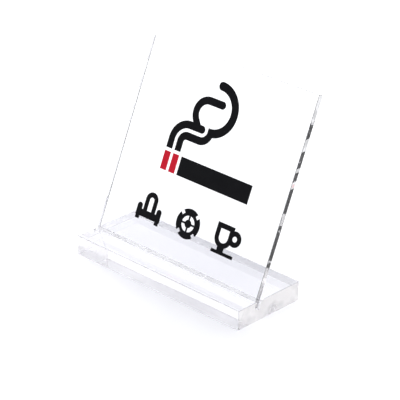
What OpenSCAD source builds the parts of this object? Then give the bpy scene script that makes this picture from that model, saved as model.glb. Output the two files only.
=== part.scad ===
// Smoking area table sign: a clear acrylic panel leaning back in a slot of a clear acrylic block,
// with the picture in cut film on the panel's front face.
// X runs along the sign, Y from front to back, Z up. The origin is the centre of the block's underside.

/* [Base block] */
// Length of the block
base_w = 105; // [80:1:160]
// Depth of the block, front to back
base_d = 42; // [36:1:70]
// Thickness of the block
base_t = 10; // [8:0.5:16]
// Width of the polished ease on the block's edges
base_ease = 0.2; // [0.1:0.1:1]

/* [Panel] */
// How far each end of the panel stops short of the block's end
end_inset = 0.8; // [0:0.1:5]
// Length of the panel up its slope, the slotted part included
panel_h = 102; // [96:1:150]
// Thickness of the panel sheet
panel_t = 2.8; // [2:0.1:5]
// Angle that the panel leans back from upright
lean = 22; // [0:1:30]
// Width of the polished ease on the panel's edges
panel_ease = 0.2; // [0.1:0.1:0.8]

/* [Slot] */
// Distance from the block's front to the panel's face, at the top of the block
slot_y = 12.3; // [9:0.1:16]
// Depth of panel held in the slot, measured down the slope
slot_depth = 3.5; // [2.5:0.1:4.5]
// Cement film round the panel in its slot
bond_gap = 0.1; // [0.05:0.05:0.3]

/* [Cigarette] */
// Thickness of the cut film
film_t = 0.1; // [0.05:0.05:0.3]
// Height of the cigarette's underside above the block, up the slope
picture_v = 39.7; // [34:0.1:40]
// Left edge of the bar, from the panel's middle
bar_u = -13.8; // [-20:0.1:-10]
// Length of the bar
bar_len = 44.8; // [30:0.1:50]
// Height of the bar and its two stripes
bar_h = 9.2; // [6:0.1:10]
// Width of a red stripe
stripe_w = 3.8; // [2.4:0.1:5]
// Bare gap between neighbouring films
film_gap = 1.6; // [1:0.1:2]

/* [Smoke] */
// Width of a smoke line
smoke_w = 3.8; // [2.4:0.1:4]
// Height of the upright start of each smoke line
smoke_rise = 5.1; // [3:0.1:6]
// Radius of the inner line's first elbow, at its middle
elbow_r = 3.3; // [2.2:0.1:4.4]
// Length of the level run before the smoke curls
run_len = 7.4; // [6:0.1:9]
// Radius of the small curl, at the middle of its line
small_curl_r = 6.6; // [6:0.1:7]
// Height of the small curl's centre over the level run
small_curl_v = 7.5; // [7:0.1:7.9]
// Length of the small curl's straight end
small_curl_end = 7.7; // [4:0.1:8]
// Width of the big curl's line
big_curl_w = 4.2; // [3.6:0.1:4.4]
// Radius of the big curl, at the middle of its line
big_curl_r = 11.4; // [11:0.1:11.8]
// Sideways step from the level run's end to the big curl's centre
big_curl_u = 4.4; // [4.2:0.1:4.8]
// Height of the big curl's centre over the level run
big_curl_v = 11.2; // [11:0.1:11.6]

/* [Row of marks] */
// Height of the row's middle above the block, up the slope
row_v = 20.3; // [15:0.1:24]
// Middle of the row, from the panel's middle
row_u = 1.4; // [-5:0.1:5]
// Distance between the middles of neighbouring marks
row_pitch = 24.8; // [18:0.1:28]
// Width of a mark
mark_w = 15.6; // [14:0.1:17]
// Height of a mark
mark_h = 14.6; // [14:0.1:16]
// Width of the lines that a mark is drawn with
mark_line = 2.5; // [1.6:0.1:2.6]

/* [Hidden] */
$fn = 96;

clear_colour = [0.93, 0.95, 0.98, 0.4];
black_film = [0.1, 0.1, 0.12];
red_film = [0.8, 0.14, 0.2];

panel_w = base_w - 2 * end_inset;
pitch = stripe_w + film_gap;

// The stripes stand in front of the bar and the smoke rises over them
inner_u = bar_u - film_gap - stripe_w / 2;
outer_u = inner_u - pitch;
smoke_v = picture_v + bar_h + film_gap;
elbow = [inner_u + elbow_r, smoke_v + smoke_rise];
outer_elbow_r = elbow_r + pitch;
knob = elbow + [run_len, outer_elbow_r];
small_curl = knob + [0, small_curl_v];
big_curl = knob + [big_curl_u, big_curl_v];

// A block with its twelve edges eased, centred on Z and standing on the plane below it
module eased_block(w, d, h, ease) {
    intersection() {
        linear_extrude(h) eased_rect(w, d, ease);
        translate([0, d / 2, h / 2]) rotate([90, 0, 0]) linear_extrude(d) eased_rect(w, h, ease);
        translate([-w / 2, 0, h / 2]) rotate([90, 0, 90]) linear_extrude(w) eased_rect(d, h, ease);
    }
}

module eased_rect(w, h, ease) {
    x = w / 2;
    y = h / 2;
    polygon([[ease - x, -y], [x - ease, -y], [x, ease - y], [x, y - ease],
             [x - ease, y], [ease - x, y], [-x, y - ease], [-x, ease - y]]);
}

// The panel's own frame: X along the sign, Z up the slope, Y = 0 on its front face
module on_panel() {
    translate([0, slot_y - base_d / 2, base_t]) rotate([-lean, 0, 0]) children();
}

// A flat shape cut from film and laid on the panel's front face
module film() {
    on_panel() rotate([90, 0, 0]) linear_extrude(film_t) children();
}

// A ring by the radius at its middle and its width
module ring(radius, width) {
    difference() {
        circle(radius + width / 2);
        circle(radius - width / 2);
    }
}

// Part of a ring, from one angle to another
module arc_band(radius, width, from, to) {
    steps = 6;
    reach = 2 * (radius + width);
    angles = [for (i = [0:steps]) from + (to - from) * i / steps];
    intersection() {
        ring(radius, width);
        polygon([[0, 0], for (a = angles) reach * [cos(a), sin(a)]]);
    }
}

// A level bar by its left end, middle height and length
module level_bar(u, v, length, width) {
    translate([u, v - width / 2]) square([length, width]);
}

// An upright bar by its middle, foot and height
module upright_bar(u, v, height, width) {
    translate([u - width / 2, v]) square([width, height]);
}

// A round end to a line, standing on its right-hand end
module round_end(width) {
    intersection() {
        circle(d = width);
        translate([0, -width]) square([width, 2 * width]);
    }
}

module base() {
    color(clear_colour) difference() {
        eased_block(base_w, base_d, base_t, base_ease);
        on_panel() translate([-base_w, -bond_gap, -slot_depth - bond_gap])
            cube([2 * base_w, panel_t + 2 * bond_gap, 2 * slot_depth + 2 * panel_t]);
    }
}

module panel() {
    color(clear_colour) on_panel() translate([0, panel_t / 2, -slot_depth])
        eased_block(panel_w, panel_t, panel_h, panel_ease);
}

module cigarette_bar() {
    color(black_film) film() translate([bar_u, picture_v]) square([bar_len, bar_h]);
}

module stripe(u) {
    color(red_film) film() upright_bar(u, picture_v, bar_h, stripe_w);
}

// The outer line turns over, runs level to a round knob and curls back up from it
module outer_smoke_shape() {
    tail_angle = 180 + atan(3 / 4);
    tail_len = (small_curl[1] + small_curl_r * sin(tail_angle) - knob[1]) / -cos(tail_angle);
    upright_bar(outer_u, smoke_v, smoke_rise, smoke_w);
    translate(elbow) arc_band(outer_elbow_r, smoke_w, 90, 180);
    level_bar(elbow[0], knob[1], run_len, smoke_w);
    translate(knob) round_end(smoke_w);
    translate(small_curl) {
        arc_band(small_curl_r, smoke_w, 90, tail_angle);
        rotate(tail_angle) upright_bar(small_curl_r, 0, tail_len, smoke_w);
        level_bar(0, small_curl_r, small_curl_end, smoke_w);
        translate([small_curl_end, small_curl_r]) round_end(smoke_w);
    }
}

// The inner line follows below it, passes round the knob and ends in the big curl
module inner_smoke_shape() {
    root_v = big_curl[1] - big_curl_r + big_curl_w / 2;
    upright_bar(inner_u, smoke_v, smoke_rise, smoke_w);
    translate(elbow) arc_band(elbow_r, smoke_w, 90, 180);
    level_bar(elbow[0], knob[1] - pitch, run_len, smoke_w);
    translate(knob) arc_band(pitch, smoke_w, -90, 0);
    upright_bar(knob[0] + pitch, knob[1], root_v - knob[1], smoke_w);
    translate(big_curl) {
        arc_band(big_curl_r, big_curl_w, -90, 90);
        translate([0, big_curl_r]) rotate(180) round_end(big_curl_w);
    }
}

module inner_smoke() {
    color(black_film) film() inner_smoke_shape();
}

module outer_smoke() {
    color(black_film) film() outer_smoke_shape();
}

// Each mark is drawn about the middle of its place in the row
module mark(place) {
    color(black_film) film() translate([row_u + place * row_pitch, row_v]) children();
}

// An armchair from the front: two round-topped arms, a seat rail on two feet, and an open back
module armchair_shape() {
    foot_h = 1.6;
    arm_h = 8;
    arm_w = mark_line * 1.25;
    rail_h = mark_line * 1.4;
    rail_v = foot_h - mark_h / 2;
    arm_u = mark_w / 2 - arm_w / 2;
    back_r = mark_w / 2 - arm_w - film_gap / 2 - mark_line / 2;
    back_v = mark_h / 2 - mark_line / 2 - back_r;
    translate([-mark_w / 2, rail_v]) square([mark_w, rail_h]);
    for (side = [-1, 1]) {
        upright_bar(side * arm_u, rail_v, arm_h - foot_h - arm_w / 2, arm_w);
        translate([side * arm_u, arm_h - arm_w / 2 - mark_h / 2]) rotate(90) round_end(arm_w);
        upright_bar(side * arm_u, -mark_h / 2, foot_h + rail_h / 2, mark_line);
        upright_bar(side * back_r, rail_v, back_v - rail_v, mark_line);
    }
    translate([0, back_v]) arc_band(back_r, mark_line, 0, 180);
}

// An ashtray from above: a round dish with four rests cut in its rim and ribs to a stub in the middle
module ashtray_shape() {
    rim_w = mark_line * 1.35;
    rim_r = mark_h / 2 - rim_w / 2;
    rest_w = mark_line * 0.75;
    rib_w = mark_line * 0.4;
    stub_r = mark_line * 0.8;
    difference() {
        ring(rim_r, rim_w);
        for (i = [0:3]) rotate(45 + 90 * i) level_bar(rim_r, 0, rim_w, rest_w);
    }
    circle(stub_r);
    for (i = [0:1]) rotate(90 * i) level_bar(-rim_r, 0, 2 * rim_r, rib_w);
}

// A cup from the side: an open bowl with a ring handle, on a short foot and a saucer
module cup_shape() {
    saucer_h = 1.6;
    saucer_w = mark_w * 0.86;
    foot_h = 1.4;
    foot_w = mark_line * 1.6;
    bowl_w = 10.4;
    bowl_u = -mark_w / 2 + bowl_w / 2;
    bowl_r = bowl_w / 2 - mark_line / 2;
    bowl_v = saucer_h + foot_h + bowl_w / 2 - mark_h / 2;
    handle_r = (mark_w - bowl_w) / 2;
    translate([bowl_u, 0]) {
        translate([0, bowl_v]) arc_band(bowl_r, mark_line, 180, 360);
        for (side = [-1, 1]) upright_bar(side * bowl_r, bowl_v, mark_h / 2 - bowl_v, mark_line);
        level_bar(-bowl_r, mark_h / 2 - mark_line / 2, 2 * bowl_r, mark_line);
        upright_bar(0, -mark_h / 2, saucer_h + foot_h + mark_line / 2, foot_w);
        translate([bowl_w / 2 + handle_r - mark_line / 2, bowl_v + handle_r / 2]) ring(handle_r, mark_line);
    }
    translate([-mark_w / 2, -mark_h / 2]) square([saucer_w, saucer_h]);
}

module armchair_mark() { mark(-1) armchair_shape(); }
module ashtray_mark() { mark(0) ashtray_shape(); }
module cup_mark() { mark(1) cup_shape(); }

base();
panel();
cigarette_bar();
stripe(inner_u);  // inner_stripe
stripe(outer_u);  // outer_stripe
inner_smoke();
outer_smoke();
armchair_mark();
ashtray_mark();
cup_mark();
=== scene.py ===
import math

import bmesh
import bpy
from mathutils import Matrix, Vector


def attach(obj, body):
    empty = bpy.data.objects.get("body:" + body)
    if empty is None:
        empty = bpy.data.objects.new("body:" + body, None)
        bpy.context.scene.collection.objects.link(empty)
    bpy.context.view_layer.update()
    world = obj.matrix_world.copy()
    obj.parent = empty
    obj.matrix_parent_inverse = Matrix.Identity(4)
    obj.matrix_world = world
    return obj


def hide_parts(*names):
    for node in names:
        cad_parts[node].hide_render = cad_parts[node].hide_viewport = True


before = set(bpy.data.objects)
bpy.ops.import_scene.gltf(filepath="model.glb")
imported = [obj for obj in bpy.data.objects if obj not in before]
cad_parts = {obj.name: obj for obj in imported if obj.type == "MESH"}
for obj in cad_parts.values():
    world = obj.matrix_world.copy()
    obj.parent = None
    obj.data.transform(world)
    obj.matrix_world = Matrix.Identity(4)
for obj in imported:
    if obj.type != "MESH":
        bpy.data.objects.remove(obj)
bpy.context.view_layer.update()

mm = 0.001
scene = bpy.context.scene

rightWay, rearWay, upWay = Vector((1, 0, 0)), Vector((0, 1, 0)), Vector((0, 0, 1))
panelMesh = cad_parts["panel"].data
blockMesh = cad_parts["base"].data

# the panel's own axes, read from its front face
panelFront = max((f for f in panelMesh.polygons if f.normal.y < 0), key=lambda f: f.area)
outOfFront = panelFront.normal.copy()
onFront = panelFront.center.copy()
upSlope = rightWay.cross(outOfFront)

# Node helpers


def newMaterial(name):
    mat = bpy.data.materials.new(name)
    mat.use_nodes = True
    return mat, mat.node_tree, mat.node_tree.nodes["Principled BSDF"]


def addNode(tree, kind, **settings):
    node = tree.nodes.new(kind)
    for key, value in settings.items():
        setattr(node, key, value)
    return node


def noise(tree, scale, detail, stretch=(1, 1, 1)):
    coords = addNode(tree, "ShaderNodeTexCoord")
    mapping = addNode(tree, "ShaderNodeMapping")
    mapping.inputs["Scale"].default_value = stretch
    texture = addNode(tree, "ShaderNodeTexNoise")
    texture.inputs["Scale"].default_value = scale
    texture.inputs["Detail"].default_value = detail
    tree.links.new(coords.outputs["Object"], mapping.inputs["Vector"])
    tree.links.new(mapping.outputs["Vector"], texture.inputs["Vector"])
    return texture.outputs["Fac"]


def remap(tree, value, source, target):
    node = addNode(tree, "ShaderNodeMapRange")
    for socket, number in zip(("From Min", "From Max", "To Min", "To Max"), (*source, *target)):
        node.inputs[socket].default_value = number
    tree.links.new(value, node.inputs["Value"])
    return node.outputs["Result"]


def math2(tree, operation, first, second):
    node = addNode(tree, "ShaderNodeMath", operation=operation)
    for socket, value in zip(node.inputs, (first, second)):
        if isinstance(value, (int, float)):
            socket.default_value = value
        else:
            tree.links.new(value, socket)
    return node.outputs["Value"]


def mixColours(tree, share, first, second):
    node = addNode(tree, "ShaderNodeMix", data_type="RGBA")
    for name, value in (("A", first), ("B", second)):
        if isinstance(value, tuple):
            node.inputs[name].default_value = value
        else:
            tree.links.new(value, node.inputs[name])
    tree.links.new(share, node.inputs["Factor"])
    return node.outputs["Result"]


def addBump(tree, shader, height, strength, distance):
    bump = addNode(tree, "ShaderNodeBump")
    bump.inputs["Strength"].default_value = strength
    bump.inputs["Distance"].default_value = distance
    tree.links.new(height, bump.inputs["Height"])
    tree.links.new(bump.outputs["Normal"], shader.inputs["Normal"])


# Clear acrylic: polished faces, sawn ends that keep some haze, and eases along the edges. The eases, the
# sheet's cut sides and the block's rear face are tinted dark: painted shade for the dark lines along the
# edges and the darker band along the rear of the top.
# Each noise has its scale per metre and its detail, and a range says which part of it shows.

acrylic = {
    "ior": 1.49,
    "waves": (60, 1),                       # swells left by polishing
    "waveHeight": 0.1 * mm,
    "easeWave": 0.2,
    "smears": (35, 3),
    "smearRange": (0.3, 0.7),
    "patches": (60, 2),                     # where cut faces kept more haze or less
    "patchRange": (0.4, 0.6),
    "scratches": (26, 5),
    "scratchStretch": (1, 30, 30),
    "scratchRange": (0.62, 0.72),
    "scratchRough": 0.05,
    "lampTint": (0.87, 0.865, 0.89, 1),     # light that gets through to the table
}
finishes = {
    "face": {"tint": (0.985, 0.99, 1.0, 1), "clear": 1.0, "rough": (0.0, 0.02)},
    "front": {"tint": (0.97, 0.965, 0.985, 1), "clear": 0.97, "rough": (0.03, 0.08)},
    "end": {"tint": (0.985, 0.965, 0.955, 1), "clear": (0.9, 0.45), "rough": (0.02, 0.12)},
    # the rear face is tinted grey and hazed: painted shade for the darker band seen along the rear of
    # the top face
    "rear": {"tint": (0.82, 0.82, 0.85, 1), "clear": (0.86, 0.72), "rough": (0.3, 0.45)},
    # the sheet's cut sides are tinted dark grey: painted shade that draws the sheet's edges as dark
    # lines
    "edge": {"tint": (0.55, 0.54, 0.55, 1), "clear": 0.955, "rough": (0.0, 0.03)},
    # the eases are tinted darker, the sheet's far darker: painted shade for the thin dark lines along
    # the edges
    "blockEase": {"tint": (0.85, 0.85, 0.87, 1), "clear": 0.7, "rough": (0.1, 0.25)},
    "sheetEase": {"tint": (0.16, 0.16, 0.17, 1), "clear": 0.3, "rough": (0.1, 0.25)},
}


def acrylicMaterial(name, finish, wave):
    mat, tree, shader = newMaterial(name)
    look = finishes[finish]
    shader.inputs["Base Color"].default_value = look["tint"]
    if isinstance(look["clear"], tuple):
        patches = remap(tree, noise(tree, *acrylic["patches"]), acrylic["patchRange"], look["clear"])
        tree.links.new(patches, shader.inputs["Transmission Weight"])
    else:
        shader.inputs["Transmission Weight"].default_value = look["clear"]
    shader.inputs["IOR"].default_value = acrylic["ior"]
    smear = remap(tree, noise(tree, *acrylic["smears"]), acrylic["smearRange"], look["rough"])
    lines = noise(tree, *acrylic["scratches"], stretch=acrylic["scratchStretch"])
    scratch = remap(tree, lines, acrylic["scratchRange"], (0, acrylic["scratchRough"]))
    tree.links.new(math2(tree, "ADD", smear, scratch), shader.inputs["Roughness"])
    addBump(tree, shader, noise(tree, *acrylic["waves"]), wave, acrylic["waveHeight"])
    # lamps and bounced light go straight through, so the block casts a light shadow
    path = addNode(tree, "ShaderNodeLightPath")
    straight = math2(tree, "MAXIMUM", path.outputs["Is Shadow Ray"], path.outputs["Is Diffuse Ray"])
    through = addNode(tree, "ShaderNodeBsdfTransparent")
    through.inputs["Color"].default_value = acrylic["lampTint"]
    mix = addNode(tree, "ShaderNodeMixShader")
    tree.links.new(straight, mix.inputs["Fac"])
    tree.links.new(shader.outputs["BSDF"], mix.inputs[1])
    tree.links.new(through.outputs["BSDF"], mix.inputs[2])
    tree.links.new(mix.outputs["Shader"], tree.nodes["Material Output"].inputs["Surface"])
    return mat


# Painted light: lighter, hazier stretches on the sheet's cut sides at listed heights, standing in for
# the light that comes through the edge where it misses the film pieces

paintedEdgeLight = {
    "heights": ((59.6, 62.4), (67, 68.6), (76, 81.3), (89.3, 109)),     # mm over the table
    "top": 110,                                                         # mm, where the ramp ends
    "tint": (0.9, 0.9, 0.91, 1),
    "clear": 0.3,
}


def addPaintedEdgeLight(mat, finish):
    tree = mat.node_tree
    shader = tree.nodes["Principled BSDF"]
    look = finishes[finish]
    coords = addNode(tree, "ShaderNodeTexCoord")
    split = addNode(tree, "ShaderNodeSeparateXYZ")
    bands = addNode(tree, "ShaderNodeValToRGB")
    stops = bands.color_ramp
    stops.interpolation = "CONSTANT"
    for low, high in paintedEdgeLight["heights"]:
        stops.elements.new(low / paintedEdgeLight["top"]).color = (1, 1, 1, 1)
        stops.elements.new(high / paintedEdgeLight["top"]).color = (0, 0, 0, 1)
    tree.links.new(coords.outputs["Object"], split.inputs["Vector"])
    height = remap(tree, split.outputs["Z"], (0, paintedEdgeLight["top"] * mm), (0, 1))
    tree.links.new(height, bands.inputs["Fac"])
    paintedLightBands = bands.outputs["Color"]
    # where the ramp is white the edge gets a light tint and less clearness: painted light
    tint = mixColours(tree, paintedLightBands, look["tint"], paintedEdgeLight["tint"])
    clear = remap(tree, paintedLightBands, (0, 1), (look["clear"], paintedEdgeLight["clear"]))
    tree.links.new(tint, shader.inputs["Base Color"])
    tree.links.new(clear, shader.inputs["Transmission Weight"])


# Cement that bonds the panel in its slot: it fills the gap, so only a faint line and a few bubbles show

cement = {
    "tint": (0.9, 0.9, 0.92, 1),
    "rough": 0.4,
    "film": 0.03,                   # share of the light that the cement stops
    "bubble": 0.1,                  # the same in a bubble
    "bubbles": (700, 2),
    "bubbleRange": (0.66, 0.72),
    "reach": 0.15 * mm,             # block faces this close to the panel are cemented
}


def cementMaterial(name):
    mat, tree, shader = newMaterial(name)
    shader.inputs["Base Color"].default_value = cement["tint"]
    shader.inputs["Roughness"].default_value = cement["rough"]
    spots = noise(tree, *cement["bubbles"])
    bubbles = remap(tree, spots, cement["bubbleRange"], (cement["film"], cement["bubble"]))
    tree.links.new(bubbles, shader.inputs["Alpha"])
    return mat


# Cut film: satin, with a faint mottle and peel

cutFilm = {
    "black": (0.004, 0.004, 0.0055),
    "red": (0.72, 0.014, 0.036),
    "gloss": 0.12,
    "rough": (0.34, 0.5),
    "mottle": (220, 4),
    "mottleRange": (0.3, 0.7),
    "mottleDepth": 0.1,
    "peel": (900, 2),
    "peelStrength": 0.15,
    "peelHeight": 0.02 * mm,
}


def filmMaterial(name, colour):
    mat, tree, shader = newMaterial(name)
    mottle = noise(tree, *cutFilm["mottle"])
    darker = (*[c * (1 - cutFilm["mottleDepth"]) for c in colour], 1)
    lighter = (*[c * (1 + cutFilm["mottleDepth"]) for c in colour], 1)
    tree.links.new(mixColours(tree, mottle, darker, lighter), shader.inputs["Base Color"])
    rough = remap(tree, mottle, cutFilm["mottleRange"], cutFilm["rough"])
    tree.links.new(rough, shader.inputs["Roughness"])
    shader.inputs["Specular IOR Level"].default_value = cutFilm["gloss"]
    addBump(tree, shader, noise(tree, *cutFilm["peel"]), cutFilm["peelStrength"], cutFilm["peelHeight"])
    return mat


# Piece helpers

meshing = {
    "weld": 0.002 * mm,         # vertices closer than this become one
    "flatAngle": 0.5,           # degrees; edges flatter than this are dissolved
    "foldAngle": 20,            # degrees; outer edges sharper than this are eased
    "onPlane": 0.001 * mm,      # vertices this close to a cutting plane lie on it
}


def mergedCopy(node):
    bm = bmesh.new()
    bm.from_mesh(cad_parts[node].data)
    bmesh.ops.remove_doubles(bm, verts=bm.verts, dist=meshing["weld"])
    flat = math.radians(meshing["flatAngle"])
    bmesh.ops.dissolve_limit(bm, angle_limit=flat, verts=bm.verts, edges=bm.edges)
    return bm


def roundEdges(bm, edges, radius, segments):
    bmesh.ops.bevel(bm, geom=edges, offset=radius, offset_type="OFFSET", affect="EDGES",
                    segments=segments, profile=0.5, material=-1, clamp_overlap=True)


def finishPiece(bm, name, node, materials):
    bmesh.ops.recalc_face_normals(bm, faces=bm.faces)
    mesh = bpy.data.meshes.new(name)
    bm.to_mesh(mesh)
    bm.free()
    for mat in materials:
        mesh.materials.append(mat)
    piece = bpy.data.objects.new(name, mesh)
    scene.collection.objects.link(piece)
    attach(piece, "root")
    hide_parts(node)
    print(name, len(mesh.polygons), "faces")


# Block and panel

signBase = {
    "wave": 0.25,
    "cutWave": 0.4,
    "edgeRadius": 0.07 * mm,
    "edgeSegments": 3,
    "flatFrom": 0.9,        # cosine to the nearest axis, under which a face counts as eased
}
signPanel = {
    "wave": 0.05,
    "cutWave": 0.2,
    "edgeRadius": 0.07 * mm,
    "edgeSegments": 3,
    "flatFrom": 0.9,
}

# a piece's materials come in this order: its polished face, its ease, its cut sides, the cement
easeSlot, firstCutSlot = 1, 2


def easedBody(node, look, bondPlanes):
    bm = mergedCopy(node)
    fold = math.radians(meshing["foldAngle"])
    folds = [e for e in bm.edges if e.is_manifold and e.calc_face_angle_signed(0) > fold]
    roundEdges(bm, folds, look["edgeRadius"], look["edgeSegments"])
    # the faces are split where the cement ends
    for place, way in bondPlanes:
        geom = bm.verts[:] + bm.edges[:] + bm.faces[:]
        bmesh.ops.bisect_plane(bm, geom=geom, dist=meshing["onPlane"], plane_co=place, plane_no=way)
    bm.normal_update()
    return bm


def sortFaces(bm, look, axes, cutSides, isBonded):
    for face in bm.faces:
        if max(abs(face.normal.dot(axis)) for axis in axes) < look["flatFrom"]:
            face.material_index = easeSlot
        for number, sides in enumerate(cutSides):
            if any(face.normal.dot(side) > look["flatFrom"] for side in sides):
                face.material_index = firstCutSlot + number
        if isBonded(face):
            face.material_index = firstCutSlot + len(cutSides)


panelEnd = max(v.co.x for v in panelMesh.vertices)
panelHalf = max((onFront - v.co).dot(outOfFront) for v in panelMesh.vertices) / 2
blockTop = max(v.co.z for v in blockMesh.vertices)


def slotWall(face):
    middle = face.calc_center_median()
    fromSlot = abs((onFront - middle).dot(outOfFront) - panelHalf)
    return abs(middle.x) < panelEnd and fromSlot < panelHalf + cement["reach"]


def panelFoot(face):
    return face.calc_center_median().z < blockTop and abs(face.normal.x) < signPanel["flatFrom"]


blockEase = acrylicMaterial("blockEase", "blockEase", acrylic["easeWave"])
sheetEase = acrylicMaterial("sheetEase", "sheetEase", acrylic["easeWave"])
blockFace = acrylicMaterial("blockFace", "face", signBase["wave"])
blockEnd = acrylicMaterial("blockEnd", "end", signBase["cutWave"])
blockRear = acrylicMaterial("blockRear", "rear", signBase["cutWave"])
blockFront = acrylicMaterial("blockFront", "front", signBase["wave"])
sheetFace = acrylicMaterial("sheetFace", "face", signPanel["wave"])
sheetEdge = acrylicMaterial("sheetEdge", "edge", signPanel["cutWave"])
addPaintedEdgeLight(sheetEdge, "edge")
bondLine = cementMaterial("bondLine")

block = easedBody("base", signBase, [(rightWay * panelEnd, rightWay), (-rightWay * panelEnd, rightWay)])
sortFaces(block, signBase, [rightWay, rearWay, upWay],
          [[rightWay, -rightWay], [rearWay], [-rearWay]], slotWall)
finishPiece(block, "signBase", "base",
            [blockFace, blockEase, blockEnd, blockRear, blockFront, bondLine])

sheet = easedBody("panel", signPanel, [(upWay * blockTop, upWay)])
sortFaces(sheet, signPanel, [rightWay, outOfFront, upSlope],
          [[rightWay, -rightWay, upSlope, -upSlope]], panelFoot)
finishPiece(sheet, "signPanel", "panel", [sheetFace, sheetEase, sheetEdge, bondLine])
print("block and panel done")

# Film pieces, wetted into the panel's face so that the sheet carries their reflections to its edges

filmPiece = {
    "bond": 0.03 * mm,          # how far a piece is set into the sheet
    "edgeRadius": 0.02 * mm,
    "edgeSegments": 2,
}
filmNodes = {
    "black": {
        "cigarette_bar": "cigaretteBar",
        "inner_smoke": "innerSmoke",
        "outer_smoke": "outerSmoke",
        "armchair_mark": "armchairMark",
        "ashtray_mark": "ashtrayMark",
        "cup_mark": "cupMark",
    },
    "red": {
        "inner_stripe": "innerStripe",
        "outer_stripe": "outerStripe",
    },
}


def offPanel(vert):
    return (vert.co - onFront).dot(outOfFront)


for colour, nodes in filmNodes.items():
    mat = filmMaterial(colour + "Film", cutFilm[colour])
    for node, name in nodes.items():
        bm = mergedCopy(node)
        glued = [v for v in bm.verts if offPanel(v) < filmPiece["bond"]]
        rim = [e for e in bm.edges if all(offPanel(v) > filmPiece["bond"] for v in e.verts)]
        bmesh.ops.translate(bm, verts=glued, vec=-outOfFront * filmPiece["bond"])
        roundEdges(bm, rim, filmPiece["edgeRadius"], filmPiece["edgeSegments"])
        finishPiece(bm, name, node, [mat])
print("films done")

# Camera

camera = {
    "azimuth": 42.15,       # degrees from straight in front, towards the sign's right
    "elevation": 25.5,
    "roll": 2.03,
    "distance": 858 * mm,
    "lookAt": (7.5 * mm, 0, 43.1 * mm),
    "lens": 166.2,
    "nearest": 10 * mm,
}


def addCamera():
    az, el = math.radians(camera["azimuth"]), math.radians(camera["elevation"])
    back = Vector((math.sin(az) * math.cos(el), -math.cos(az) * math.cos(el), math.sin(el)))
    right = upWay.cross(back).normalized()
    roll = Matrix.Rotation(math.radians(camera["roll"]), 3, back)
    axes = Matrix((roll @ right, roll @ back.cross(right), back)).transposed()
    place = Vector(camera["lookAt"]) + back * camera["distance"]
    data = bpy.data.cameras.new("camera")
    data.lens = camera["lens"]
    data.clip_start = camera["nearest"]
    cam = bpy.data.objects.new("camera", data)
    cam.matrix_world = Matrix.Translation(place) @ axes.to_4x4()
    scene.collection.objects.link(cam)
    scene.camera = cam


# White table, room and lamp

table = {
    "radius": 8.0,
    "segments": 96,
    "drop": 0.03 * mm,
    "colour": (0.8, 0.8, 0.8, 1),
    "glow": 0.09,           # lifts the paper to white where the camera sees it
}
room = {
    "low": (1.0, 1.0, 1.0, 1),              # paper behind the sign
    "window": (1.7, 1.7, 1.7, 1),           # over the paper
    "windowHeight": (0.18, 0.3),            # sine of the elevation where it starts and is full
    "front": (0.42, 0.42, 0.44, 1),         # the viewer's side
    "frontTurn": (-0.2, -0.6),              # how far round towards the viewer it starts and is full
    "ceiling": (0.86, 0.88, 0.92, 1),
    "ceilingHeight": (0.55, 0.8),
}
lamp = {
    "place": (-0.31, 0.38, 0.5),
    "size": 0.3,
    "power": 2.7,
}
lightSteps = 80             # reflections that light may take inside the sheet


def addTable():
    bm = bmesh.new()
    bmesh.ops.create_circle(bm, cap_ends=True, segments=table["segments"], radius=table["radius"])
    bmesh.ops.translate(bm, verts=bm.verts, vec=-upWay * table["drop"])
    mesh = bpy.data.meshes.new("table")
    bm.to_mesh(mesh)
    bm.free()
    top = bpy.data.objects.new("table", mesh)
    scene.collection.objects.link(top)
    mat, tree, shader = newMaterial("paper")
    shader.inputs["Base Color"].default_value = table["colour"]
    shader.inputs["Roughness"].default_value = 1
    shader.inputs["Specular IOR Level"].default_value = 0
    shader.inputs["Emission Color"].default_value = (1, 1, 1, 1)
    path = addNode(tree, "ShaderNodeLightPath")
    mirrored = math2(tree, "MAXIMUM", path.outputs["Is Glossy Ray"], path.outputs["Is Transmission Ray"])
    seen = math2(tree, "MAXIMUM", path.outputs["Is Camera Ray"], mirrored)
    tree.links.new(math2(tree, "MULTIPLY", seen, table["glow"]), shader.inputs["Emission Strength"])
    mesh.materials.append(mat)


def addRoom():
    scene.world = bpy.data.worlds.new("room")
    scene.world.use_nodes = True
    tree = scene.world.node_tree
    coords = addNode(tree, "ShaderNodeTexCoord")
    split = addNode(tree, "ShaderNodeSeparateXYZ")
    tree.links.new(coords.outputs["Generated"], split.inputs["Vector"])
    turn, height = split.outputs["Y"], split.outputs["Z"]
    overPaper = remap(tree, height, room["windowHeight"], (0, 1))
    rear = mixColours(tree, overPaper, room["low"], room["window"])
    towardsFront = remap(tree, turn, room["frontTurn"], (0, 1))
    sides = mixColours(tree, towardsFront, rear, room["front"])
    overhead = remap(tree, height, room["ceilingHeight"], (0, 1))
    whole = mixColours(tree, overhead, sides, room["ceiling"])
    tree.links.new(whole, tree.nodes["Background"].inputs["Color"])


def addLamp():
    data = bpy.data.lights.new("softbox", "AREA")
    data.size = lamp["size"]
    data.energy = lamp["power"]
    box = bpy.data.objects.new("softbox", data)
    place = Vector(lamp["place"])
    box.matrix_world = Matrix.Translation(place) @ place.to_track_quat("Z", "Y").to_matrix().to_4x4()
    box.visible_glossy = False
    box.visible_transmission = False
    scene.collection.objects.link(box)


addCamera()
addTable()
addRoom()
addLamp()
scene.view_settings.view_transform = "Standard"
scene.cycles.max_bounces = lightSteps
scene.cycles.glossy_bounces = lightSteps
scene.cycles.transmission_bounces = lightSteps
scene.cycles.transparent_max_bounces = lightSteps
print("camera, table, room and lamp done")
